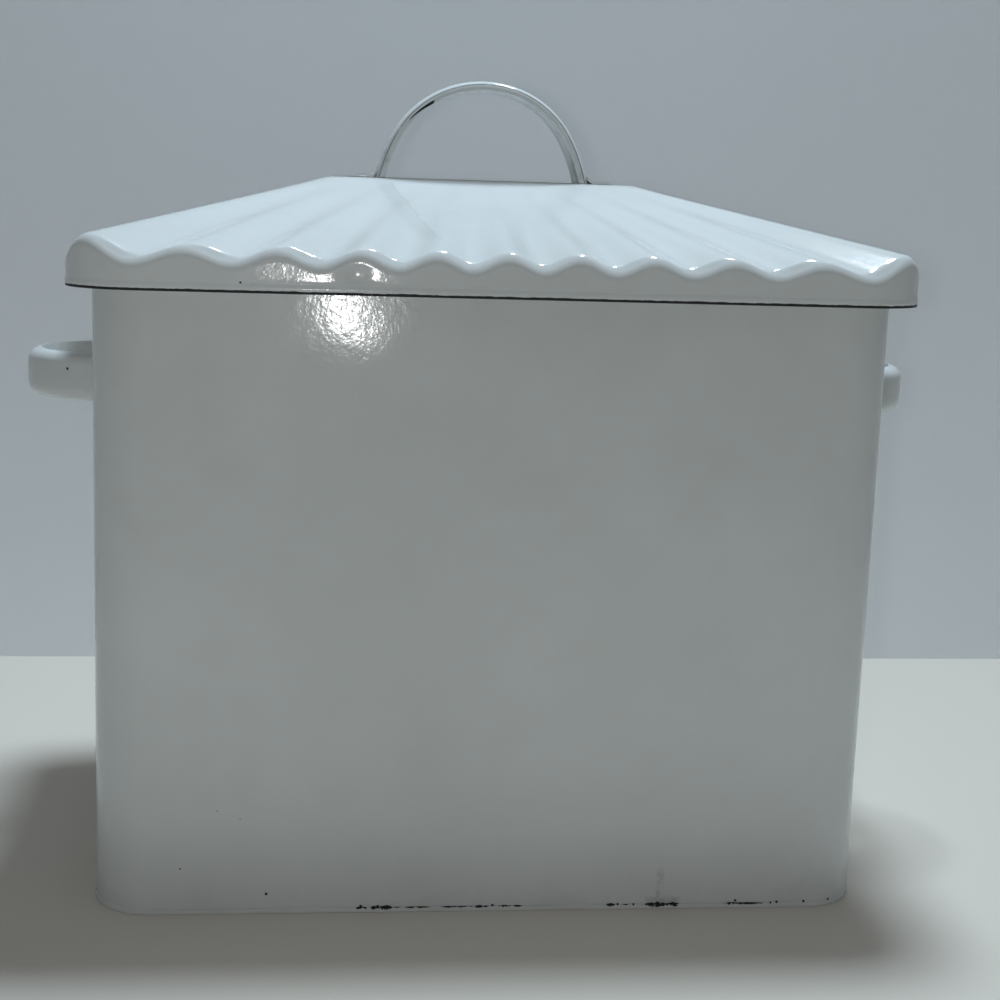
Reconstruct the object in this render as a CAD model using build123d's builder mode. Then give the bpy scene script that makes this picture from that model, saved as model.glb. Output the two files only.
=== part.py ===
"""Enamelled steel bread bin: round-cornered bin, fluted lift-off lid and three strap handles.

Millimetres, +Z up. The origin is the middle of the footprint, on the surface the bin stands on.
X runs along the bin, the front faces -Y.
"""

from build123d import *
import math
import os

# ---------------------------------------------------------------- driving dimensions

sheet = 1.0                  # steel with its enamel on both sides
seat_gap = 0.3               # left between the lid's valleys and the rim that carries them

bin_length = 330.0
bin_depth = 216.0
bin_corner = 24.0            # outer radius of the bin's upright corners
rim_roll = 6.0               # diameter of the rim, rolled outwards over a wire

lid_overhang = 10.0          # skirt outside the bin's wall, all round
lid_corner = 30.0
lid_edge_height = 260.0      # lower edge of the skirt above the table
shoulder_rise = 19.0         # flute crests above that edge
shoulder_radius = 6.0
shoulder_shares = (0.0, 0.35, 0.7, 1.0)   # rings round that radius
ridge_rise = 46.5            # flat ridge above that edge
ridge_length = 138.0
ridge_width = 23.0

front_flutes = 10            # from corner to corner
end_flutes = 6
front_pitch = 28.3           # in the middle of a side; the pitch grows towards the corners
end_pitch = 32.0
flute_depth = 5.0
flute_fade = 1.6             # how fast the flutes die out towards the ridge
corner_lift = 3.0            # the crest on a corner stands this much above the others
steps_per_flute = 6
roof_steps = (0.25, 0.6, 1.0)   # rings up the slope, as shares of the way to the ridge

hem_height = 4.0             # lower edge of the skirt, folded in and pressed flat
hem_outset = 0.5
hem_thickness = 2.4
hem_round = 0.5

strap_width = 21.0
strap_depth = 5.0            # the strap is a channel: its long edges are turned in
strap_edge = 4.0             # radius of those edges
foot_length = 13.0           # out-turned foot, outside the strap
foot_margin = 1.0            # the foot is this much narrower than the strap, on each side
foot_corner = 4.0

lid_handle_length = 98.0
lid_handle_rise = 43.5

side_handle_length = 72.0
side_handle_reach = 38.0
side_handle_height = 216.5   # middle of the strap above the table

seam_height = 2.2            # folded seam that joins the pan to the wall
seam_outset = 0.8
seam_inset = 3.0             # inner side of the fold, inside the bin's outer face
seam_floor = 0.8             # what the wall's lower edge stands on
seam_clearance = 0.05
pan_height = 4.2             # upper side of the bottom panel

# ---------------------------------------------------------------- derived sizes

half_turn = 180.0
lid_half_length = bin_length / 2 + lid_overhang
lid_half_depth = bin_depth / 2 + lid_overhang
lid_side_run = lid_half_length - lid_corner
lid_end_run = lid_half_depth - lid_corner
corner_arc = lid_corner * math.pi / 2

shoulder_height = lid_edge_height + shoulder_rise
ridge_height = lid_edge_height + ridge_rise
roof_slope = math.atan2(ridge_rise - shoulder_rise, lid_half_depth - ridge_width / 2)

# the rim's height follows from the lid: its roll just clears the underside of the valleys
roll_radius = rim_roll / 2
roll_outset = roll_radius - sheet
inner_radius = shoulder_radius - sheet
slope_inset = sheet + inner_radius * (1 - math.sin(roof_slope))
slope_height = shoulder_height - shoulder_radius + inner_radius * math.cos(roof_slope)
valley_run = roof_steps[0] * (lid_half_depth - ridge_width / 2 - slope_inset)
valley_fade = flute_depth * (1 - (1 - roof_steps[0]) ** flute_fade)
valley_rise = roof_steps[0] * (ridge_height - sheet - slope_height) + valley_fade
valley_slope = math.atan2(valley_rise, valley_run)
valley_inset = lid_overhang - roll_outset - slope_inset
valley_height = slope_height - flute_depth + valley_inset * math.tan(valley_slope)
roll_height = valley_height - (roll_radius + seat_gap) / math.cos(valley_slope)


# ---------------------------------------------------------------- lid shell

def skirt_place(distance):
    """Point of the skirt's outline and its outward direction, for a quarter of the way round.

    The distance runs from the middle of the front to the middle of the right end.
    """
    if distance <= lid_side_run:
        return (distance, -lid_half_depth), (0.0, -1.0)
    if distance >= lid_side_run + corner_arc:
        past = distance - lid_side_run - corner_arc
        return (lid_half_length, past - lid_end_run), (1.0, 0.0)
    turn = (distance - lid_side_run) / lid_corner
    outward = (math.sin(turn), -math.cos(turn))
    x = lid_side_run + lid_corner * outward[0]
    y = -lid_end_run + lid_corner * outward[1]
    return (x, y), outward


def flute_run(flutes, pitch, reach):
    """Distances from the middle of a side to the middle of a corner, with dip and lift at each.

    The pitch is the given one in the middle and grows with the cube of the flute's number, so
    that a crest lands on the corner. The dip is 0 on a crest and 1 in a valley. The lift is 1
    on the corner's crest and 0 past the valley beside it.
    """
    half = flutes / 2
    growth = (reach - pitch * half) / half**3
    run = []
    for step in range(round(half * steps_per_flute) + 1):
        flute = step / steps_per_flute
        distance = pitch * flute + growth * flute**3
        dip = (1 - math.cos(2 * math.pi * flute)) / 2
        lift = 1 - dip if half - flute < 1 / 2 else 0
        run.append((distance, dip, lift))
    return run


def quarter_stations():
    """Every place on a quarter of the lid's outline, from the middle of the front to an end's."""
    corner_middle = lid_side_run + corner_arc / 2
    quarter = lid_side_run + corner_arc + lid_end_run
    front = flute_run(front_flutes, front_pitch, corner_middle)
    end = flute_run(end_flutes, end_pitch, quarter - corner_middle)
    back_from_end = [(quarter - distance, dip, lift) for distance, dip, lift in reversed(end)]
    return front + back_from_end[1:]


def lid_ring(inset, height, wave=0.0, rise=0.0, climb=0.0):
    """Closed line round the lid, `inset` inside the skirt's face.

    It dips by `wave` in the valleys and stands up by `rise` on the corners. `climb` carries it
    from there towards the ridge's outline, 0 at the shoulder and 1 at the ridge.
    """
    quarter = []
    for distance, dip, lift in quarter_stations():
        point, outward = skirt_place(distance)
        x = point[0] - inset * outward[0]
        y = point[1] - inset * outward[1]
        ridge_x = point[0] * ridge_length / 2 / lid_half_length
        ridge_y = point[1] * ridge_width / 2 / lid_half_depth
        x += (ridge_x - x) * climb
        y += (ridge_y - y) * climb
        quarter.append((x, y, height - wave * dip + rise * lift))
    right = quarter + [(x, -y, z) for x, y, z in reversed(quarter[:-1])]
    left = [(-x, y, z) for x, y, z in reversed(right[1:-1])]
    points = right + left
    # the same parameters on every ring keep the rings matched point for point
    parameters = [number / len(points) for number in range(len(points) + 1)]
    return Wire([Edge.make_spline(points, periodic=True, parameters=parameters)])


def roof_rings(inset):
    """Rings of the fluted part: from the skirt, round the shoulder and up the slope to the ridge.

    The outer face has no inset, and the inner one lies a sheet inside it.
    """
    radius = shoulder_radius - inset
    rings = []
    for share in shoulder_shares:
        turn = (math.pi / 2 - roof_slope) * share
        ring_inset = inset + radius * (1 - math.cos(turn))
        ring_height = shoulder_height - shoulder_radius + radius * math.sin(turn)
        rings.append(lid_ring(ring_inset, ring_height, flute_depth, corner_lift))
    start_inset = inset + radius * (1 - math.sin(roof_slope))
    start_height = shoulder_height - shoulder_radius + radius * math.cos(roof_slope)
    for climb in roof_steps:
        ring_height = start_height + (ridge_height - inset - start_height) * climb
        wave = flute_depth * (1 - climb) ** flute_fade
        rise = corner_lift * (1 - climb)
        rings.append(lid_ring(start_inset, ring_height, wave, rise, climb))
    return rings


hem_top = lid_edge_height + hem_height
outer_rings = [
    lid_ring(hem_round - hem_outset, lid_edge_height),
    lid_ring(-hem_outset, lid_edge_height + hem_round),
    lid_ring(-hem_outset, hem_top - hem_outset),
    lid_ring(0, hem_top),
]
inner_rings = [
    lid_ring(hem_thickness - hem_outset, lid_edge_height),
    lid_ring(hem_thickness - hem_outset, hem_top),
    lid_ring(sheet, hem_top + hem_outset),
]
outer_rings += roof_rings(0)
inner_rings += roof_rings(sheet)

with BuildPart() as lid_shell:
    outer_face = Shell.make_loft(outer_rings, ruled=True)
    inner_face = Shell.make_loft(inner_rings, ruled=True)
    lower_edge = Face(outer_rings[0], [inner_rings[0]])
    ridge_faces = [Face(outer_rings[-1]), Face(inner_rings[-1])]
    add(Solid(Shell([*outer_face.faces(), *inner_face.faces(), lower_edge, *ridge_faces])))


# ---------------------------------------------------------------- handles

def strap_section(width):
    """Channel across the strap: its back is on the X axis and its turned-in edges point to +Y."""
    with Locations((0, strap_depth)):
        RectangleRounded(width, 2 * strap_depth, strap_edge)
        RectangleRounded(
            width - 2 * sheet,
            2 * (strap_depth - sheet),
            strap_edge - sheet,
            mode=Mode.SUBTRACT,
        )
    with Locations((0, 1.5 * strap_depth)):
        Rectangle(width, strap_depth, mode=Mode.SUBTRACT)


def strap_handle(length, rise):
    """Half an ellipse of strap on two feet: it stands on the XY plane and runs along X."""
    with BuildPart() as handle:
        with BuildLine(Plane.XZ) as arch:
            EllipticalCenterArc((0, 0), length / 2, rise, arc_size=half_turn)
        foot_end = Plane(arch.line @ 0, x_dir=(0, 1, 0), z_dir=arch.line % 0)
        with BuildSketch(foot_end):
            strap_section(strap_width)
        sweep(path=arch.line)
        foot_middle = (length + foot_length - strap_depth) / 2
        with BuildSketch():
            with Locations((-foot_middle, 0), (foot_middle, 0)):
                RectangleRounded(
                    foot_length + strap_depth, strap_width - 2 * foot_margin, foot_corner
                )
        extrude(amount=sheet)
    return handle.part


with BuildPart() as lid_handle:
    with Locations((0, 0, ridge_height)):
        add(strap_handle(lid_handle_length, lid_handle_rise))

with BuildPart() as side_handle_right:
    end_wall = Plane((bin_length / 2, 0, side_handle_height), x_dir=(0, 1, 0), z_dir=(1, 0, 0))
    with Locations(end_wall):
        add(strap_handle(side_handle_length, side_handle_reach))

with BuildPart() as side_handle_left:
    mirror(side_handle_right.part, about=Plane.YZ)


# ---------------------------------------------------------------- bin

def bin_outline(outset, mode=Mode.ADD):
    """The bin's plan, moved outwards from its outer face."""
    RectangleRounded(
        bin_length + 2 * outset, bin_depth + 2 * outset, bin_corner + outset, mode=mode
    )


def bin_ring(outset, inset):
    """Band between two outlines, `outset` outside the bin's outer face and `inset` inside it."""
    bin_outline(outset)
    bin_outline(-inset, Mode.SUBTRACT)


with BuildPart() as body_wall:
    with BuildSketch(Plane.XY.offset(seam_floor)):
        bin_ring(0, sheet)
    extrude(amount=roll_height - seam_floor)
    with BuildLine(Plane.XY.offset(roll_height)) as rim:
        x = bin_length / 2 + roll_outset
        y = bin_depth / 2 + roll_outset
        corners = [(0, -y), (x, -y), (x, y), (-x, y), (-x, -y)]
        FilletPolyline(*corners, radius=[0, *[bin_corner + roll_outset] * 4], close=True)
    with BuildSketch(Plane(rim.line @ 0, z_dir=rim.line % 0)):
        Circle(roll_radius)
    sweep(path=rim.line)

with BuildPart() as base_pan:
    with BuildSketch():
        bin_ring(seam_outset, seam_inset)
    extrude(amount=seam_floor)
    with BuildSketch():
        bin_ring(seam_outset, -seam_clearance)
    extrude(amount=seam_height)
    with BuildSketch():
        bin_ring(-sheet - seam_clearance, seam_inset)
    extrude(amount=pan_height)
    with BuildSketch(Plane.XY.offset(pan_height - sheet)):
        bin_outline(-sheet - seam_clearance)
    extrude(amount=sheet)

# ---------------------------------------------------------------- labels and files

pieces = {
    "body_wall": body_wall,
    "base_pan": base_pan,
    "side_handle_left": side_handle_left,
    "side_handle_right": side_handle_right,
    "lid_shell": lid_shell,
    "lid_handle": lid_handle,
}

os.makedirs("parts", exist_ok=True)
for name, piece in pieces.items():
    piece.part.label = name
    export_step(piece.part, f"parts/{name}.step")
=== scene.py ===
import math

import bmesh
import bpy
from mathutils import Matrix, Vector


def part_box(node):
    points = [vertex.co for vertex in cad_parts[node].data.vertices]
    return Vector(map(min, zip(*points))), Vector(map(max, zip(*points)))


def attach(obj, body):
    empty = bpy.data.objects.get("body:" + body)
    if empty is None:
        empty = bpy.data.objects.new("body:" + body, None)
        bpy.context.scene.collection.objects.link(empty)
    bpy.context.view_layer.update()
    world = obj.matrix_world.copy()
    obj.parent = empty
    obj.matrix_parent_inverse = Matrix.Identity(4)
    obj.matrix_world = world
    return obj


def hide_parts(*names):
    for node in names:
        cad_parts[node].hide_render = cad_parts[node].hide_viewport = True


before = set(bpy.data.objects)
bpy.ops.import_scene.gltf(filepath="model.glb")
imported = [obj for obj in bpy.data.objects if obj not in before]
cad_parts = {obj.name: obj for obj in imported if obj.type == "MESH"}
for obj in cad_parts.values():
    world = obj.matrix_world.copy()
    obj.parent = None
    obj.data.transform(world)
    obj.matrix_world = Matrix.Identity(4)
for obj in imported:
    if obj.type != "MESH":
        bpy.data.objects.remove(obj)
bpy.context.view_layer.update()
mm = 0.001
tiny = 0.02 * mm
steep = 0.5                       # a wall's normal points up or down by less than this
smoothBelow = math.radians(40)    # faces that meet at less than this are shaded smooth


# modelling helpers: every operator works on what was picked just before it

def onlySelect(piece):
    if bpy.context.object and bpy.context.object.mode != "OBJECT":
        bpy.ops.object.mode_set(mode="OBJECT")
    bpy.ops.object.select_all(action="DESELECT")
    bpy.context.view_layer.objects.active = piece
    piece.select_set(True)


def openMesh(piece):
    onlySelect(piece)
    bpy.ops.object.mode_set(mode="EDIT")
    bpy.ops.mesh.select_all(action="DESELECT")


def closeMesh():
    bpy.ops.object.mode_set(mode="OBJECT")


def pick(kind, test=lambda part: True):
    bpy.ops.mesh.select_mode(type=kind)
    bpy.ops.mesh.select_all(action="DESELECT")
    mesh = bmesh.from_edit_mesh(bpy.context.object.data)
    parts = {"VERT": mesh.verts, "EDGE": mesh.edges, "FACE": mesh.faces}[kind]
    for part in parts:
        if test(part):
            part.select_set(True)
    mesh.select_flush_mode()
    bmesh.update_edit_mesh(bpy.context.object.data)


def middle(part):
    return sum((corner.co for corner in part.verts), Vector()) / len(part.verts)


def level(part, height):
    return all(abs(corner.co.z - height) < tiny for corner in part.verts)


def upright(edge):
    first, last = (corner.co for corner in edge.verts)
    return (first - last).xy.length < tiny


def flat(way):
    return Vector((way.x, way.y, 0)).normalized()


def standing(face):
    return abs(face.normal.z) < steep


def inward(face):
    return standing(face) and face.normal.dot(flat(middle(face))) < 0


def startPiece(name, primitive, **settings):
    bpy.ops.object.select_all(action="DESELECT")
    primitive(**settings)
    piece = bpy.context.object
    piece.name = piece.data.name = name
    bpy.ops.object.transform_apply(location=True, rotation=True, scale=True)
    return piece


def modify(piece, kind, **settings):
    onlySelect(piece)
    modifier = piece.modifiers.new(kind.title(), kind)
    for name, value in settings.items():
        setattr(modifier, name, value)
    bpy.ops.object.modifier_apply(modifier=modifier.name)


def joinPieces(piece, *others):
    onlySelect(piece)
    for other in others:
        other.select_set(True)
    bpy.ops.object.join()
    return piece


def finishPiece(piece, body, node):
    onlySelect(piece)
    bpy.ops.object.shade_smooth_by_angle(angle=smoothBelow)
    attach(piece, body)
    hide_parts(node)
    print(piece.name, len(piece.data.polygons), "faces")


def raiseFace(height):
    bpy.ops.mesh.extrude_region_move(TRANSFORM_OT_translate={"value": (0, 0, height)})


def thicken(amount):
    bpy.ops.mesh.extrude_region_shrink_fatten(TRANSFORM_OT_shrink_fatten={"value": amount})


def roundedPlate(name, length, depth, corner, height, segments, station=None):
    # its straight sides are cut about every station, where one is given
    plate = startPiece(name, bpy.ops.mesh.primitive_plane_add, size=1, location=(0, 0, height))
    openMesh(plate)
    pick("FACE")
    bpy.ops.transform.resize(value=(length, depth, 1), center_override=(0, 0, height))
    bpy.ops.mesh.bevel(offset=corner, segments=segments, affect="VERTICES")
    for side, run in ((1, length - 2 * corner), (0, depth - 2 * corner)):
        if station:
            reach = (length, depth)[side] / 2 - tiny
            pick("EDGE", lambda edge: abs(middle(edge)[side]) > reach)
            bpy.ops.mesh.subdivide(number_cuts=round(run / station) - 1)
    pick("FACE")
    return plate


# camera, at the height and turn of the photograph

cameraSet = {
    "place": (-0.0863, -0.7822, 0.3012),
    "turn": (79.682, -1.747, -5.641),
    "sensor": 36,
    "lens": 61.0,
    "shift": 0.04,
}

bpy.ops.object.camera_add(location=cameraSet["place"])
camera = bpy.context.object
camera.rotation_euler = [math.radians(angle) for angle in cameraSet["turn"]]
camera.data.sensor_width = cameraSet["sensor"]
camera.data.lens = cameraSet["lens"]
camera.data.shift_x = cameraSet["shift"]
bpy.context.scene.camera = camera
print("camera placed")


# lid: folded hem, skirt, rounded shoulder and a fluted hip roof

lidSet = {
    "length": 350 * mm,
    "depth": 236 * mm,
    "corner": 30 * mm,
    "cornerSteps": 24,
    "edge": 260 * mm,
    "hem": 4 * mm,
    "hemSteps": 8,
    "hemSwell": 0.22 * mm,
    "hemFold": 0.8 * mm,
    "skirtSteps": 7,
    "skirtLean": 0.08 * mm,
    "shoulder": 277.6 * mm,           # where skirt and slope would meet without the bevel
    "shoulderBevel": 4.6 * mm,
    "shoulderSteps": 9,
    "ridge": 306.1 * mm,
    "ridgeLength": 138 * mm,
    "ridgeDepth": 23 * mm,
    "crown": 0.4 * mm,
    "crownInset": 3 * mm,
    "sheet": 1.0 * mm,
    "station": 1.9 * mm,
    "roofSteps": 22,
    "frontFlutes": (10, 28.3 * mm),   # how many, and their pitch in the middle of the side
    "endFlutes": (6, 32 * mm),
    "fluteSteps": 400,                # rows in the table of flute numbers along a side
    "fluteDepth": 5 * mm,
    "fluteFade": 2.0,
    "cornerLift": 3 * mm,
    "dent": (-60.3 * mm, 268 * mm),   # place on the front of the skirt, across and up
    "dentReach": 4.4 * mm,
    "dentDepth": 0.5 * mm,
}


def fluteTable(flutes, pitch, reach, steps):
    # distance from the side's middle for each flute number: a crest lands on the corner
    half = flutes / 2
    growth = (reach - pitch * half) / half**3
    numbers = [half * step / steps for step in range(steps + 1)]
    return [(pitch * number + growth * number**3, number) for number in numbers]


def fluteNumber(table, distance):
    for (startAt, start), (endAt, end) in zip(table, table[1:]):
        if distance <= endAt:
            return start + (end - start) * (distance - startAt) / (endAt - startAt)
    return table[-1][1]


def fluteShape(s):
    frontRun, endRun = s["length"] / 2 - s["corner"], s["depth"] / 2 - s["corner"]
    halfCorner = s["corner"] * math.pi / 4
    front = fluteTable(*s["frontFlutes"], frontRun + halfCorner, s["fluteSteps"])
    end = fluteTable(*s["endFlutes"], endRun + halfCorner, s["fluteSteps"])
    known = {}

    def shape(x, y):
        x, y = abs(x), abs(y)
        if x <= frontRun:
            table, distance = front, x
        elif y <= endRun:
            table, distance = end, y
        else:
            turn = math.atan2(x - frontRun, y - endRun)
            if turn < math.pi / 4:
                table, distance = front, frontRun + s["corner"] * turn
            else:
                table, distance = end, endRun + s["corner"] * (math.pi / 2 - turn)
        key = (table is front, round(distance, 6))
        if key not in known:
            # dip is 0 on a crest and 1 in a valley, and lift is 1 on the corner's crest alone
            number = fluteNumber(table, distance)
            dip = (1 - math.cos(2 * math.pi * number)) / 2
            lift = 1 - dip if table[-1][1] - number < 1 / 2 else 0
            known[key] = (dip, lift)
        return known[key]

    return shape


def makeLid(s):
    size = (s["length"], s["depth"], s["corner"])
    lid = roundedPlate("lidShell", *size, s["edge"], s["cornerSteps"], s["station"])
    raiseFace(s["hem"])
    raiseFace(s["shoulder"] - s["edge"] - s["hem"])
    rise = s["ridge"] - s["shoulder"]
    shrink = (1 - s["ridgeLength"] / s["length"], 1 - s["ridgeDepth"] / s["depth"])
    now = (1, 1)
    for step in range(1, s["roofSteps"] + 1):
        new = [1 - share * step / s["roofSteps"] for share in shrink]
        raiseFace(rise / s["roofSteps"])
        ratio = (new[0] / now[0], new[1] / now[1], 1)
        bpy.ops.transform.resize(value=ratio, center_override=(0, 0, 0))
        now = new
    pick("FACE", lambda face: level(face, s["edge"]))
    bpy.ops.mesh.delete(type="FACE")
    pick("EDGE", lambda edge: level(edge, s["shoulder"]))
    bpy.ops.mesh.bevel(offset=s["shoulderBevel"], segments=s["shoulderSteps"])
    pick("FACE", lambda face: level(face, s["ridge"]))
    bpy.ops.mesh.inset(thickness=s["crownInset"])
    raiseFace(s["crown"])
    for low, steps in ((s["edge"], s["hemSteps"]), (s["edge"] + s["hem"], s["skirtSteps"])):
        pick("EDGE", lambda edge: upright(edge) and min(c.co.z for c in edge.verts) < low + tiny)
        bpy.ops.mesh.subdivide(number_cuts=steps - 1)

    # every point above the hem dips with the flute that it lies in, and the hem swells
    shape = fluteShape(s)
    hemTop = s["edge"] + s["hem"]
    skirt = s["shoulder"] - s["shoulderBevel"] - hemTop
    mesh = bmesh.from_edit_mesh(lid.data)
    for point in mesh.verts:
        if point.co.z > hemTop + tiny:
            share = min(1, (point.co.z - hemTop) / skirt)
            climb = min(1, max(0, (point.co.z - s["shoulder"]) / rise))
            x = point.co.x / (1 - shrink[0] * climb)
            y = point.co.y / (1 - shrink[1] * climb)
            dip, lift = shape(x, y)
            wave = s["fluteDepth"] * (1 - climb) ** s["fluteFade"]
            point.co.z += (s["cornerLift"] * (1 - climb) * lift - wave * dip) * share
            point.co -= flat(point.co) * s["skirtLean"] * (1 - share)
            if point.co.y < s["corner"] - s["depth"] / 2:
                x, z = s["dent"]
                away = math.hypot(point.co.x - x, point.co.z - z) / s["dentReach"]
                point.co.y += s["dentDepth"] * math.exp(-away * away)
        else:
            climb = max(0, point.co.z - s["edge"]) / s["hem"]
            point.co += flat(point.normal) * s["hemSwell"] * (1 - math.cos(2 * math.pi * climb)) / 2
    bmesh.update_edit_mesh(lid.data)
    closeMesh()
    modify(lid, "SOLIDIFY", thickness=s["sheet"], offset=-1)

    # the hem's inner fold
    openMesh(lid)
    pick("FACE", lambda face: middle(face).z < s["edge"] + s["hem"] and inward(face))
    thicken(s["hemFold"])
    closeMesh()
    return lid


lidShell = makeLid(lidSet)
finishPiece(lidShell, "lid", "lid_shell")


# handles: pressed channel strap, bent to half an ellipse on two out-turned feet

strapSet = {
    "width": 21 * mm,
    "sheet": 1.1 * mm,
    "steps": 72,
    "edgeSteps": 6,
    "round": 0.5 * mm,
    "roundSteps": 2,
    "roundAbove": 0.9,                # angle between faces, in radians
    "foot": 10.5 * mm,
    "footSink": 0.4 * mm,             # how deep its strip starts inside the strap's back
    "footSteps": 8,
    "footMargin": 1 * mm,
    "footCorner": 4 * mm,
    "footBend": 3 * mm,
    "flareHeight": 14 * mm,
    "splay": 0.8,                     # share of the waist that is given back at the feet
}


def makeFoot(name, half, s):
    # a strip hangs in front of the leg, turns outwards and lies flat
    foot = startPiece(name, bpy.ops.mesh.primitive_plane_add, size=1)
    openMesh(foot)
    pick("FACE")
    bpy.ops.mesh.delete(type="ONLY_FACE")
    pick("VERT", lambda point: point.co.x < 0)
    bpy.ops.mesh.delete(type="VERT")
    pick("VERT")
    width = s["width"] - 2 * s["footMargin"]
    start = half - s["footSink"]
    bpy.ops.transform.resize(value=(1, width, 1), center_override=(0, 0, 0))
    bpy.ops.transform.translate(value=(start - 1 / 2, 0, s["footBend"]))
    turn = (start + s["footBend"], 0, s["footBend"])
    pick("EDGE")
    bpy.ops.mesh.spin(steps=s["footSteps"], angle=math.pi / 2, center=turn, axis=(0, 1, 0))
    bpy.ops.mesh.extrude_edges_move(TRANSFORM_OT_translate={"value": (s["foot"], 0, 0)})
    bpy.ops.mesh.select_mode(type="VERT")
    bpy.ops.mesh.bevel(offset=s["footCorner"], segments=s["footSteps"], affect="VERTICES")
    pick("FACE")
    bpy.ops.mesh.remove_doubles(threshold=tiny)
    closeMesh()
    modify(foot, "SOLIDIFY", thickness=s["sheet"], offset=-1)
    return foot


def makeStrap(name, shape, s):
    # the channel's section stands at the right foot, its back turned outwards
    half, lip = shape["length"] / 2, shape["lip"]
    strap = startPiece(name, bpy.ops.mesh.primitive_plane_add, size=1)
    openMesh(strap)
    pick("FACE")
    bpy.ops.transform.resize(value=(2 * lip, s["width"], 1), center_override=(0, 0, 0))
    bpy.ops.mesh.bevel(offset=shape["edge"], segments=s["edgeSteps"], affect="VERTICES")
    bpy.ops.transform.translate(value=(half - lip, 0, 0))
    pick("EDGE", lambda edge: abs(abs(middle(edge).y) - s["width"] / 2) < tiny)
    bpy.ops.mesh.subdivide(number_cuts=1)
    pick("FACE")
    bpy.ops.mesh.delete(type="ONLY_FACE")
    pick("VERT", lambda point: point.co.x < half - lip - tiny)
    bpy.ops.mesh.delete(type="VERT")
    pick("EDGE")
    bpy.ops.mesh.spin(steps=s["steps"], angle=math.pi, center=(0, 0, 0), axis=(0, 1, 0))
    pick("VERT")
    bpy.ops.transform.resize(value=(1, 1, shape["rise"] / half), center_override=(0, 0, 0))
    bpy.ops.mesh.normals_make_consistent(inside=False)
    closeMesh()
    modify(strap, "SOLIDIFY", thickness=s["sheet"], offset=-1)
    feet = [makeFoot(name + "Foot", half, s), makeFoot(name + "OtherFoot", half, s)]
    feet[1].rotation_euler.z = math.pi
    onlySelect(feet[1])
    bpy.ops.object.transform_apply(location=True, rotation=True, scale=True)
    joinPieces(strap, *feet)

    # the arch is narrowed by its waist, less so towards the feet, and the legs widen there
    openMesh(strap)
    for point in bmesh.from_edit_mesh(strap.data).verts:
        foot = max(0, 1 - point.co.z / s["flareHeight"])
        point.co.y *= 1 + shape["flare"] / s["width"] * foot * foot
        leg = max(0, 1 - 2 * point.co.z / shape["rise"])
        point.co.x *= 1 - shape["waist"] * (1 - s["splay"] * leg * leg)
    closeMesh()
    rounding = {"width": s["round"], "segments": s["roundSteps"], "angle_limit": s["roundAbove"]}
    modify(strap, "BEVEL", limit_method="ANGLE", **rounding)
    return strap


def placeStrap(strap, place, turn):
    onlySelect(strap)
    strap.location = place
    strap.rotation_euler = [math.radians(angle) for angle in turn]
    bpy.ops.object.transform_apply(location=True, rotation=True, scale=True)


lidHandleSet = {
    "length": 98 * mm,
    "rise": 43.5 * mm,
    "lip": 4.4 * mm,
    "edge": 3.6 * mm,
    "flare": 0,
    "waist": 0.068,
}

lidHandle = makeStrap("lidHandle", lidHandleSet, strapSet)
placeStrap(lidHandle, (0, 0, lidSet["ridge"] + lidSet["crown"]), (0, 0, 0))
finishPiece(lidHandle, "lid", "lid_handle")

sideHandleSet = {
    "length": 72 * mm,
    "rise": 38 * mm,
    "lip": 5.8 * mm,
    "edge": 5.6 * mm,
    "flare": 3 * mm,
    "waist": 0,
    "height": 216.5 * mm,
    "wall": 165 * mm,
}

sideHandles = []
for side, sign in (("Left", -1), ("Right", 1)):
    handle = makeStrap("sideHandle" + side, sideHandleSet, strapSet)
    place = (sign * sideHandleSet["wall"], 0, sideHandleSet["height"])
    placeStrap(handle, place, (90, 0, sign * 90))
    finishPiece(handle, "bin", "side_handle_" + side.lower())
    sideHandles.append(handle)


# bin: straight wall with round corners, its rim rolled outwards over a wire

binSet = {
    "length": 330 * mm,
    "depth": 216 * mm,
    "corner": 24 * mm,
    "cornerSteps": 16,
    "start": 0.8 * mm,
    "sheet": 1.0 * mm,
    "roll": 3 * mm,
    "rollSteps": 20,
    "rollCornerSteps": 12,
}


def sweepRound(start, runs, corner, steps):
    # the picked section goes along straight runs with a quarter turn to the left after each
    place = Vector(start)
    way = Vector((1, 0, 0))
    for run in runs:
        move = way * run
        bpy.ops.mesh.extrude_edges_move(TRANSFORM_OT_translate={"value": move})
        place = place + move
        left = Vector((-way.y, way.x, 0))
        centre = place + left * corner
        bpy.ops.mesh.spin(steps=steps, angle=math.pi / 2, center=centre, axis=(0, 0, -1))
        place = centre + way * corner
        way = left


def makeBin(s):
    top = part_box("body_wall")[1].z - s["roll"]
    size = (s["length"], s["depth"], s["corner"])
    wall = roundedPlate("binWall", *size, s["start"], s["cornerSteps"])
    raiseFace(top - s["start"])
    pick("FACE", lambda face: len(face.verts) > 4)
    bpy.ops.mesh.delete(type="ONLY_FACE")
    closeMesh()
    modify(wall, "SOLIDIFY", thickness=s["sheet"], offset=-1)

    outset = s["roll"] - s["sheet"]
    corner = s["corner"] + outset
    x = s["length"] / 2 + outset
    y = s["depth"] / 2 + outset
    start = (0, -y, top)
    rim = startPiece(
        "rim", bpy.ops.mesh.primitive_circle_add, vertices=s["rollSteps"], radius=s["roll"],
        location=start, rotation=(0, math.pi / 2, 0),
    )
    openMesh(rim)
    pick("EDGE")
    long = 2 * (x - corner)
    short = 2 * (y - corner)
    sweepRound(start, (long / 2, short, long, short), corner, s["rollCornerSteps"])
    bpy.ops.mesh.extrude_edges_move(TRANSFORM_OT_translate={"value": (long / 2, 0, 0)})
    pick("FACE")
    bpy.ops.mesh.remove_doubles(threshold=tiny)
    bpy.ops.mesh.normals_make_consistent(inside=False)
    closeMesh()
    return joinPieces(wall, rim)


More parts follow.
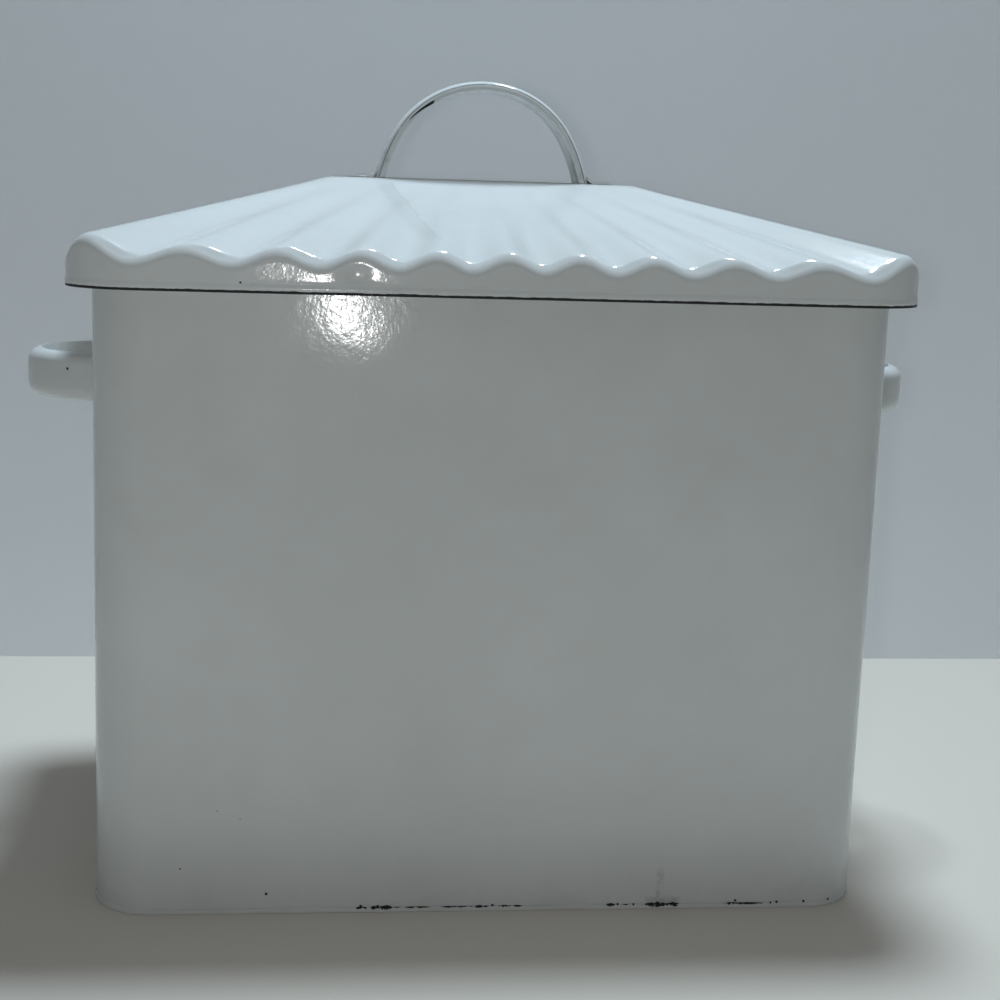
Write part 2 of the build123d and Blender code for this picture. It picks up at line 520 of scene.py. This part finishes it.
binWall = makeBin(binSet)
finishPiece(binWall, "bin", "body_wall")


# base: a pan folded round the wall's lower edge, its panel set up inside

panSet = {
    "lip": 0.45 * mm,
    "seam": 2.2 * mm,
    "seamRound": 0.42 * mm,
    "seamSteps": 4,
    "cornerSteps": 20,
    "inside": 1.05 * mm,
    "panel": 4.2 * mm,
    "recess": 3.2 * mm,
    "ring": 3.8 * mm,
}


def onOutline(edge):
    # one of its faces is the outer side of the fold
    sides = [face for face in edge.link_faces if standing(face)]
    return len(sides) == 1 and not inward(sides[0])


def makePan(s):
    length = binSet["length"] + 2 * s["lip"]
    depth = binSet["depth"] + 2 * s["lip"]
    corner = binSet["corner"] + s["lip"]
    pan = roundedPlate("basePan", length, depth, corner, 0, s["cornerSteps"])
    raiseFace(s["seam"])
    bpy.ops.mesh.inset(thickness=s["lip"] + s["inside"])
    raiseFace(s["panel"] - s["seam"])
    pick("FACE", lambda face: level(face, 0))
    bpy.ops.mesh.inset(thickness=s["ring"])
    raiseFace(s["recess"])
    pick("EDGE", lambda edge: (level(edge, 0) or level(edge, s["seam"])) and onOutline(edge))
    bpy.ops.mesh.bevel(offset=s["seamRound"], segments=s["seamSteps"])
    closeMesh()
    return pan


basePan = makePan(panSet)
finishPiece(basePan, "bin", "base_pan")


# enamel: one glassy white for every piece, with its own marks on each

class Shade:
    # a socket that can be reckoned with: each sum or product adds its own Math node

    def __init__(self, tree, socket=None):
        self.tree, self.socket = tree, socket

    def add(self, kind, settings=None, inputs=None, out=0):
        node = self.tree.nodes.new(kind)
        for name, value in (settings or {}).items():
            setattr(node, name, value)
        for name, value in (inputs or {}).items():
            if isinstance(value, Shade):
                self.tree.links.new(value.socket, node.inputs[name])
            else:
                node.inputs[name].default_value = value
        return Shade(self.tree, node.outputs[out])

    def maths(self, operation, *values):
        return self.add("ShaderNodeMath", {"operation": operation}, dict(enumerate(values)))

    def __add__(self, other):
        return self.maths("ADD", self, other)

    def __radd__(self, other):
        return self.maths("ADD", other, self)

    def __sub__(self, other):
        return self.maths("SUBTRACT", self, other)

    def __rsub__(self, other):
        return self.maths("SUBTRACT", other, self)

    def __mul__(self, other):
        return self.maths("MULTIPLY", self, other)

    def __rmul__(self, other):
        return self.maths("MULTIPLY", other, self)

    def __pow__(self, other):
        return self.maths("POWER", self, other)

    def __or__(self, other):
        return self.maths("MAXIMUM", self, other)

    def rising(self, low, high):
        limits = {"Value": self, "From Min": low, "From Max": high}
        return self.add("ShaderNodeMapRange", {"interpolation_type": "SMOOTHSTEP"}, limits)

    def falling(self, low, high):
        return 1 - self.rising(low, high)

    def between(self, low, high, soft):
        return self.rising(low - soft, low + soft) * self.falling(high - soft, high + soft)

    def noise(self, scale, detail, roughness, seed=0, stretch=(1, 1, 1)):
        shift = {"Vector": self, "Location": (seed, seed / 2, seed / 3), "Scale": stretch}
        place = self.add("ShaderNodeMapping", inputs=shift)
        inputs = {"Vector": place, "Scale": scale, "Detail": detail, "Roughness": roughness}
        return self.add("ShaderNodeTexNoise", inputs=inputs)

    def spot(self, point, size, soft):
        away = self.add("ShaderNodeVectorMath", {"operation": "DISTANCE"}, {0: self, 1: point}, out=1)
        return away.falling(size - soft, size + soft)

    def blend(self, colour, other):
        # the first colour where this mask is 0, the other where it is 1
        return self.add("ShaderNodeMix", {"data_type": "RGBA"}, {0: self, 6: colour, 7: other}, out=2)


enamelSet = {
    "white": (0.70, 0.725, 0.725, 1),
    "pale": (0.75, 0.775, 0.78, 1),
    "film": (0.52, 0.53, 0.51, 1),
    # dark grey for dirt, and also for the painted shade along the lid handle's bend
    "grimeAndShade": (0.20, 0.20, 0.19, 1),
    "steel": (0.004, 0.004, 0.005, 1),
    "ior": 1.5,
    "cloud": {"scale": 7, "detail": 3, "roughness": 0.55},
    "cloudRange": (0.35, 0.65),
    "veil": {"scale": 26, "detail": 5, "roughness": 0.65, "seed": 3},
    "veilRange": (0.42, 0.75),
    "veilShare": 0.10,
    "rough": 0.075,
    "filmRough": 0.12,
    "cloudRough": 0.05,
    "chipRough": 0.45,
    "grimeRough": 0.5,                # as a share of a chip's
    "chipDepth": 0.25 * mm,
    "pinholes": {"scale": 210, "detail": 0, "roughness": 0.5, "seed": 5},
    "pinholeRange": (0.88, 0.90),
    "unevenness": (                   # from the sheet's slow waves to the grain of the fired glass
        (0.9 * mm, {"scale": 16, "detail": 1, "roughness": 0.4, "seed": 7}),
        (0.06 * mm, {"scale": 105, "detail": 2, "roughness": 0.6, "seed": 13}),
        (0.03 * mm, {"scale": 330, "detail": 2, "roughness": 0.6, "seed": 11}),
        (0.014 * mm, {"scale": 900, "detail": 1, "roughness": 0.6, "seed": 15}),
    ),
}


def enamel(name, marks):
    # marks gives three masks: thin grey film, grime together with some painted shade, and chips down to the
    # dark ground coat
    s = enamelSet
    finish = bpy.data.materials.new(name)
    finish.use_nodes = True
    tree = finish.node_tree
    shader = tree.nodes["Principled BSDF"]
    shader.inputs["IOR"].default_value = s["ior"]
    place = Shade(tree).add("ShaderNodeTexCoord", out="Object")
    x, y, z = (place.add("ShaderNodeSeparateXYZ", inputs={0: place}, out=axis) for axis in range(3))
    film, grimeAndShade, chips = marks(place, x, y, z)

    cloud = place.noise(**s["cloud"])
    veil = place.noise(**s["veil"]).rising(*s["veilRange"]) * s["veilShare"] | film
    colour = cloud.rising(*s["cloudRange"]).blend(s["white"], s["pale"])
    colour = veil.blend(colour, s["film"])
    colour = grimeAndShade.blend(colour, s["grimeAndShade"])
    colour = chips.blend(colour, s["steel"])
    tree.links.new(colour.socket, shader.inputs["Base Color"])

    rough = s["rough"] + veil * s["filmRough"] + cloud * s["cloudRough"]
    rough = rough + (chips | grimeAndShade * s["grimeRough"]) * s["chipRough"]
    tree.links.new(rough.socket, shader.inputs["Roughness"])

    height = chips * -s["chipDepth"]
    for depth, texture in s["unevenness"]:
        height = height + place.noise(**texture) * depth
    bump = place.add("ShaderNodeBump", inputs={"Height": height, "Distance": 1.0, "Strength": 1.0})
    tree.links.new(bump.socket, shader.inputs["Normal"])
    return finish


def dress(piece, finish):
    piece.data.materials.clear()
    piece.data.materials.append(finish)


def pinholes(place):
    # a few tiny black pits in the glass
    return place.noise(**enamelSet["pinholes"]).rising(*enamelSet["pinholeRange"])


# lid: dark cut edge, a wavy grey line with a fainter grey band along its left side on the front slope, one
# speck on the skirt

lidMarkSet = {
    "edge": 261.0 * mm,
    "edgeSoft": 0.15 * mm,
    "ragged": 0.7 * mm,
    "raggedTexture": {"scale": 260, "detail": 2, "roughness": 0.6, "seed": 2},
    "frontSlope": (-22 * mm, -14 * mm),
    "streakPath": (-40.6 * mm, -27.1 * mm, 304.2 * mm, 282.3 * mm),   # left, right, top and foot
    "run": (-0.55 * mm, 0.55 * mm, 0.9 * mm),                      # the wavy line's width: from, to and softness
    "streakShare": 0.5,
    "beside": (-7 * mm, 0, 2 * mm),
    "besideShare": 0.22,
    "streakEnds": 2 * mm,
    "wobble": 14 * mm,
    "wobbleTexture": {"scale": 50, "detail": 2, "roughness": 0.5, "seed": 4, "stretch": (0.2, 1, 1)},
    "grimeAndShade": (263 * mm, 266 * mm),
    "grimeTexture": {"scale": 90, "detail": 3, "roughness": 0.6, "seed": 8},
    "grimeRange": (0.6, 0.8),
    "grimeShare": 0.3,
    "speck": (-104.9 * mm, -118 * mm, 264.1 * mm),
    "speckSize": (0.4 * mm, 0.15 * mm),
}


def lidMarks(place, x, y, z):
    s = lidMarkSet
    left, right, top, foot = s["streakPath"]
    wobble = (place.noise(**s["wobbleTexture"]) - 0.5) * s["wobble"]
    line = x - left - (top - z) * ((right - left) / (top - foot)) + wobble
    film = line.between(*s["run"]) * s["streakShare"] | line.between(*s["beside"]) * s["besideShare"]
    film = film * z.between(foot, top, s["streakEnds"]) * y.falling(*s["frontSlope"])
    ragged = (place.noise(**s["raggedTexture"]) - 0.5) * s["ragged"]
    edge = (z + ragged).falling(s["edge"], s["edge"] + s["edgeSoft"])
    grimeAndShade = place.noise(**s["grimeTexture"]).rising(*s["grimeRange"]) * z.falling(*s["grimeAndShade"])
    return film, grimeAndShade * s["grimeShare"], edge | place.spot(s["speck"], *s["speckSize"])


# handles: dark hairlines where the glass is thin on the lips' free edges, a dark hairline of thin glass and
# painted shade where the lips turn, a long chip at the front

handleMarkSet = {
    "wear": {"scale": 120, "detail": 3, "roughness": 0.65, "seed": 6},
    "rim": (9.3 * mm, 9.9 * mm),      # the strap's long edges, from its middle line
    "lipEdge": (-0.01, 0.015),        # as shares of the arch, from the lips' free edge
    "lipWear": (0.4, 0.6),
    "lipShare": 0.5,
    "bendShadeLine": (0.96, 0.972, 0.004),     # dark hairline where the lips turn, part thin glass and part painted shade of the bend, as shares of the arch
    "bendWear": (0.25, 0.45),
    "bendShare": 0.9,
    "legs": (309 * mm, 318 * mm, 2 * mm),
    "legWear": (0.42, 0.6),
    "legShare": 0.35,
    "foot": (1 * mm, 3 * mm),
    "footWear": (0.5, 0.62),
    "footShare": 0.2,
    "chip": (-33.5 * mm, -22.8 * mm),
    "chipEnds": 0.04,
    "chipPath": (0.942, -0.02),       # share of the arch at its start, and its change along the chip
    "chipThick": (0.003, 0.011),
    "chipSoft": (-0.001, 0.002),
    "chipFront": (-1 * mm, 0),
    "chipFoot": (325 * mm, 326 * mm),
    "nick": (28 * mm, -10.5 * mm, 339.9 * mm),
    "nickSize": (0.5 * mm, 0.15 * mm),
    "dot": (-181.8 * mm, -32.3 * mm, 220.1 * mm),
    "dotSize": (0.6 * mm, 0.3 * mm),
}


def archShare(across, up, shape):
    # 1 on the arch's back, less towards its middle
    up = (up | 0) * (1 / shape["rise"])
    if shape["waist"]:
        leg = 1 - 2 * up | 0
        across = across.maths("DIVIDE", across, 1 - shape["waist"] * (1 - strapSet["splay"] * leg * leg))
    return ((across * (2 / shape["length"])) ** 2 + up ** 2) ** 0.5


def thinLips(wear, share, shape):
    s = handleMarkSet
    low, high = (1 - 2 * shape["lip"] / shape["length"] + limit for limit in s["lipEdge"])
    return share.falling(low, high) * wear.rising(*s["lipWear"]) * s["lipShare"]


def lidHandleMarks(place, x, y, z):
    s = handleMarkSet
    share = archShare(x.maths("ABSOLUTE", x), z - (lidSet["ridge"] + lidSet["crown"]), lidHandleSet)
    wear = place.noise(**s["wear"])
    rim = y.maths("ABSOLUTE", y).rising(*s["rim"])
    # painted shade: the dark hairline along the bend where the lips turn stands partly for the shade in
    # that bend, partly for thin glass
    bendShadeLine = share.between(*s["bendShadeLine"]) * rim * wear.rising(*s["bendWear"]) * s["bendShare"]
    legs = z.between(*s["legs"]) * wear.rising(*s["legWear"]) * s["legShare"]
    start, end = s["chip"]
    along = (x - start) * (1 / (end - start))
    off = share - s["chipPath"][0] - along * s["chipPath"][1]
    off = off.maths("ABSOLUTE", off) - s["chipThick"][0] - along * s["chipThick"][1]
    chip = off.falling(*s["chipSoft"]) * along.between(0, 1, s["chipEnds"]) * rim
    chip = chip * y.falling(*s["chipFront"]) * z.rising(*s["chipFoot"])
    return thinLips(wear, share, lidHandleSet), bendShadeLine | legs, chip | place.spot(s["nick"], *s["nickSize"])


def endHandleMarks(place, x, y, z):
    s = handleMarkSet
    out = x.maths("ABSOLUTE", x) - sideHandleSet["wall"]
    share = archShare(y.maths("ABSOLUTE", y), out, sideHandleSet)
    wear = place.noise(**s["wear"])
    foot = out.falling(*s["foot"]) * wear.rising(*s["footWear"]) * s["footShare"]
    return thinLips(wear, share, sideHandleSet), foot, place.spot(s["dot"], *s["dotSize"]) | pinholes(place)


# bin and base: chips along the folded seam, a few specks and a smear low on the front

seamSet = {
    "height": 2.1 * mm,
    "front": (-98 * mm, -94 * mm),
    "ragged": 0.9 * mm,
    "raggedTexture": {"scale": 520, "detail": 3, "roughness": 0.6, "seed": 2},
    "chipBody": (0.3, 0.62),
    "chipSoft": 0.16 * mm,
    "chips": (                        # from, to and thickness along the front, in mm
        (-54.8, -50.2, 1.4), (-48.6, -39.2, 2.6), (-40, -35, 0.7), (-35, -23, 0.8), (-19, -11, 0.8),
        (-12.5, -4.5, 0.8), (-4.2, -0.8, 1.5), (-0.8, 1.8, 1), (5.8, 10.2, 1.2), (9.4, 16.4, 1),
        (52.6, 56.4, 1.8), (59.5, 62.3, 0.7), (69.4, 78.6, 2.6), (76, 83, 1.2), (80, 84.4, 2.2),
        (103.5, 122, 1), (105, 110, 1.5),
    ),
    "dots": (                         # place along the front and height, in mm
        (-52.8, 2.8), (3.3, 2.5), (57.5, 2.2), (64.4, 2.0), (109.1, 3.3), (124.7, 2), (127.4, 2.4),
        (139.4, 2.6), (151, 2.5),
    ),
    "dotSize": (0.55 * mm, 0.15 * mm),
    "specks": ((-128.3, 20.2, 0.35), (-92.6, 8.7, 0.6), (-113.2, 45.5, 0.25), (-103.7, 41.9, 0.22)),
    "speckSoft": 0.12 * mm,
    "smears": (                       # across and up, each from, to and softness
        ((74.2 * mm, 77 * mm, 1 * mm), (3 * mm, 17 * mm, 3 * mm)),
        ((69 * mm, 84 * mm, 2 * mm), (2 * mm, 5.5 * mm, 1 * mm)),
    ),
    "mottle": {"scale": 300, "detail": 3, "roughness": 0.7, "seed": 9},
    "mottleRange": (0.3, 0.6),
    "smearShare": 0.35,
    "otherChips": {"scale": 48, "detail": 2, "roughness": 0.6, "seed": 6},
    "otherRange": (0.62, 0.64),
    "otherThick": (0.3 * mm, 0.6 * mm),
    "crevice": {"scale": 30, "detail": 2, "roughness": 0.5, "seed": 12},
    "creviceRange": (0.35, 0.6),
    "creviceThick": (0.1 * mm, 0.35 * mm),
    "creviceShare": 0.2,
    "film": {"scale": 60, "detail": 3, "roughness": 0.6, "seed": 10},
    "filmRange": (0.35, 0.7),
    "filmHeight": (4 * mm, 20 * mm),
    "filmShare": 0.2,
}


def onFront(x, z):
    # the front is flat as far as its round corners
    corner = binSet["corner"]
    past = max(0, abs(x) - binSet["length"] / 2 + corner)
    return x, corner - binSet["depth"] / 2 - math.sqrt(corner**2 - past**2), z


def seamMarks(place, x, y, z):
    s = seamSet
    front = y.falling(*s["front"])
    ragged = place.noise(**s["raggedTexture"])
    offset = z - s["height"] + (ragged - 0.5) * s["ragged"]
    off = offset.maths("ABSOLUTE", offset)
    body = ragged.rising(*s["chipBody"])
    chips = pinholes(place) * (1 - front)
    for start, end, thick in s["chips"]:
        share = (x - (start + end) / 2 * mm) * (2 / ((end - start) * mm))
        reach = (1 - share * share | 0) ** 0.5 * body * (thick / 2 * mm)
        chips = chips | (off - reach).falling(-s["chipSoft"], 0) * front
    for at, up in s["dots"]:
        chips = chips | place.spot(onFront(at * mm, up * mm), *s["dotSize"])
    for at, up, size in s["specks"]:
        chips = chips | place.spot(onFront(at * mm, up * mm), size * mm, s["speckSoft"])
    mottle = place.noise(**s["mottle"]).rising(*s["mottleRange"]) * s["smearShare"]
    smear, smearFoot = (x.between(*across) * z.between(*up) * mottle for across, up in s["smears"])
    # the other sides have short chips along the seam, and a grey line in its crevice
    rest = place.noise(**s["otherChips"]).rising(*s["otherRange"]) * off.falling(*s["otherThick"])
    line = off.falling(*s["creviceThick"]) * place.noise(**s["crevice"]).rising(*s["creviceRange"])
    film = z.falling(*s["filmHeight"]) * place.noise(**s["film"]).rising(*s["filmRange"])
    grimeAndShade = (smear | smearFoot) * front | line * s["creviceShare"]
    return film * s["filmShare"], grimeAndShade, chips | rest * (1 - front)


finishes = (
    ("lidEnamel", lidMarks, (lidShell,)),
    ("lidHandleEnamel", lidHandleMarks, (lidHandle,)),
    ("endHandleEnamel", endHandleMarks, sideHandles),
    ("binEnamel", seamMarks, (binWall,)),
    ("baseEnamel", seamMarks, (basePan,)),
)
for name, marks, pieces in finishes:
    finish = enamel(name, marks)
    for piece in pieces:
        dress(piece, finish)
print("enamel fired on", len(finishes), "finishes")


# stage: pale floor, a wall close behind, soft light from overhead and small lamps in front

stageSet = {
    "floor": (0.76, 0.71, 0.64, 1),
    "floorSize": 8,
    "wall": (0.74, 0.78, 0.82, 1),
    "wallSize": 6,
    "wallAt": 289 * mm,
    "wallGlow": 0.10,
    "paintRough": 0.6,
    "paintShine": 0.2,
    "far": (0.28, 0.295, 0.31, 1),
    "sky": (0.18, 0.195, 0.21, 1),
    "horizon": (0.045, 0.045, 0.043, 1),
    "skyRange": (0.1, 0.9),
    "lamps": {                        # place, aim, size, watts, colour
        "key": ((0.12, 0.20, 1.62), (0, 0, 0.25), 0.3, 19, (0.77, 0.93, 1.04)),
        "glint": ((0.28, 0.21, 1.24), (0, 0, 0.25), 0.16, 6.6, (1, 1, 1)),
        "flash": ((-0.108, -0.78, 0.300), (0, 0.1, 0.25), 0.02, 0.45, (1, 1, 0.96)),
        "mirror": ((-0.060, -0.782, 0.214), (-0.06, -0.108, 0.24), 0.018, 0.14, (1, 1, 1)),
    },
    "glossOnly": ("glint", "mirror"),
    "lightOnly": ("key", "flash"),
}


def paint(name, colour):
    finish = bpy.data.materials.new(name)
    finish.use_nodes = True
    shader = finish.node_tree.nodes["Principled BSDF"]
    shader.inputs["Base Color"].default_value = colour
    shader.inputs["Roughness"].default_value = stageSet["paintRough"]
    shader.inputs["Specular IOR Level"].default_value = stageSet["paintShine"]
    return finish


def inSight(shade):
    # 1 where a ray comes from the camera, a reflection or glass, and 0 for light that bounces
    kinds = ("Is Camera Ray", "Is Glossy Ray", "Is Transmission Ray")
    seen, mirrored, passed = (shade.add("ShaderNodeLightPath", out=kind) for kind in kinds)
    return seen | mirrored | passed


def seeThroughBack(finish):
    # the wall shows only from its front, and no lamp's shadow or bounced light stops at it
    tree = finish.node_tree
    shade = Shade(tree)
    back = shade.add("ShaderNodeNewGeometry", out="Backfacing")
    hide = 1 - inSight(shade) * (1 - back)
    clear = shade.add("ShaderNodeBsdfTransparent")
    shader = tree.nodes["Principled BSDF"]
    shader.inputs["Emission Color"].default_value = stageSet["wall"]
    shader.inputs["Emission Strength"].default_value = stageSet["wallGlow"]
    solid = Shade(tree, shader.outputs[0])
    mixed = shade.add("ShaderNodeMixShader", inputs={0: hide, 1: solid, 2: clear})
    tree.links.new(mixed.socket, tree.nodes["Material Output"].inputs["Surface"])
    return finish


floor = startPiece("floor", bpy.ops.mesh.primitive_plane_add, size=stageSet["floorSize"])
dress(floor, paint("floorPaint", stageSet["floor"]))
backdrop = startPiece(
    "backdrop", bpy.ops.mesh.primitive_plane_add, size=stageSet["wallSize"],
    location=(0, stageSet["wallAt"], stageSet["wallSize"] / 2), rotation=(math.pi / 2, 0, 0),
)
dress(backdrop, seeThroughBack(paint("wallPaint", stageSet["wall"])))

for name, (place, aim, size, watts, colour) in stageSet["lamps"].items():
    bpy.ops.object.light_add(type="AREA", location=place)
    lamp = bpy.context.object
    lamp.name = name
    lamp.rotation_euler = (Vector(aim) - Vector(place)).to_track_quat("-Z", "Y").to_euler()
    lamp.data.shape = "DISK"
    lamp.data.size = size
    lamp.data.energy = watts
    lamp.data.color = colour
    lamp.visible_glossy = name not in stageSet["lightOnly"]
    lamp.visible_diffuse = name not in stageSet["glossOnly"]

# the world lights from above, and shows one plain tone wherever it is seen
world = bpy.data.worlds.new("studio")
bpy.context.scene.world = world
world.use_nodes = True
background = world.node_tree.nodes["Background"]
sky = Shade(world.node_tree)
way = sky.add("ShaderNodeTexCoord", out="Generated")
height = sky.add("ShaderNodeSeparateXYZ", inputs={0: way}, out=2)
glow = height.rising(*stageSet["skyRange"]).blend(stageSet["horizon"], stageSet["sky"])
glow = inSight(sky).blend(glow, stageSet["far"])
world.node_tree.links.new(glow.socket, background.inputs["Color"])
background.inputs["Strength"].default_value = 1

bpy.context.scene.view_settings.view_transform = "Standard"
print("stage set")
